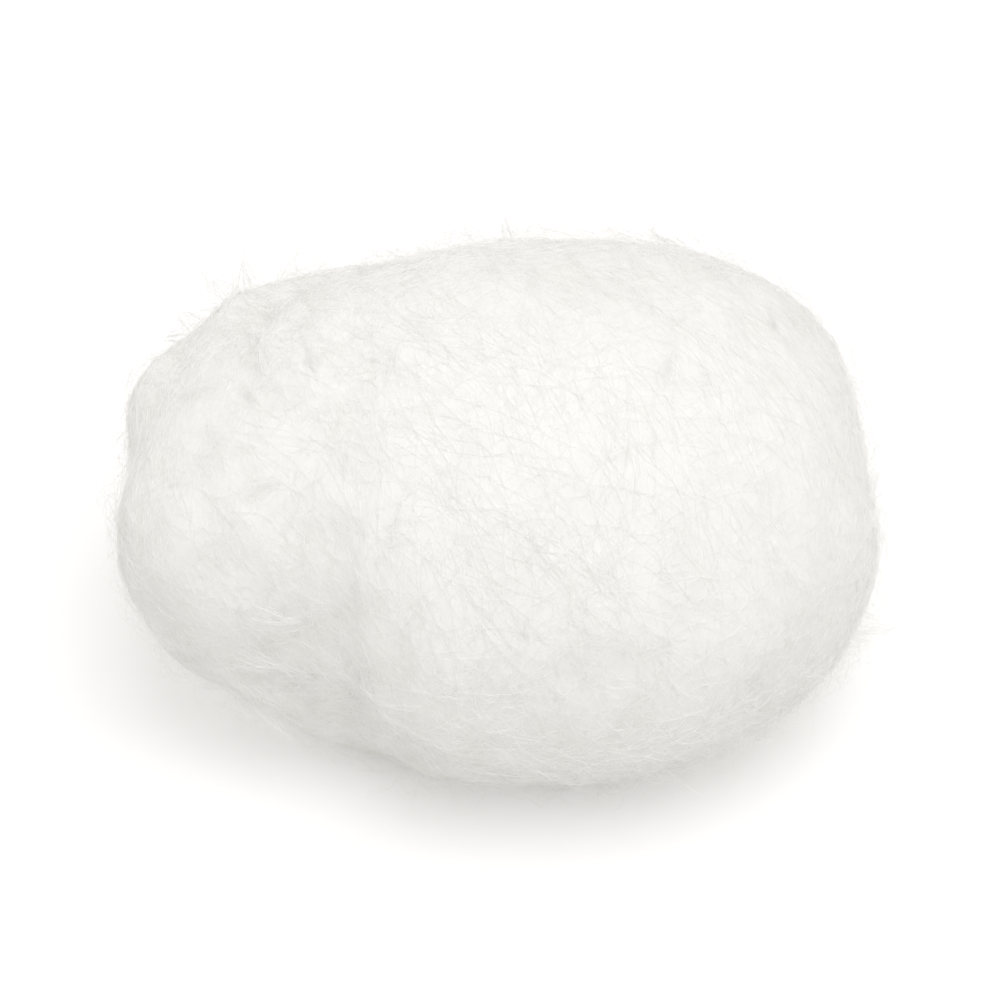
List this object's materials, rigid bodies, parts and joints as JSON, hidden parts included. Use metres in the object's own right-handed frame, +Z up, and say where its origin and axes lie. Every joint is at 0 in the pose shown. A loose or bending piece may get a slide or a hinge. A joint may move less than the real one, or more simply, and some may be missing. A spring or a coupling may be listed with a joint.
{
  "type": "pet nesting cotton ball",
  "caption": "Soft egg-shaped ball of white carded cotton with one full round end, a blunter gathered end, shallow folds and a fine fuzz; lies on a small flat spot.",
  "frame": {"origin": "middle of the ball's bounding box, at the height of the surface that it rests on", "axes": "+X from the gathered end to the full round end, along the ball's longest way; +Y to the far side; +Z up, the ball's shortest way"},
  "size_m": [0.0474, 0.0364, 0.0326],
  "materials": {
    "cotton": "matt, loosely carded bleached cotton with a fine fuzz of stray fibres"
  },
  "bodies": {
    "root": {"cotton_ball": "cotton"}
  },
  "joints": []
}
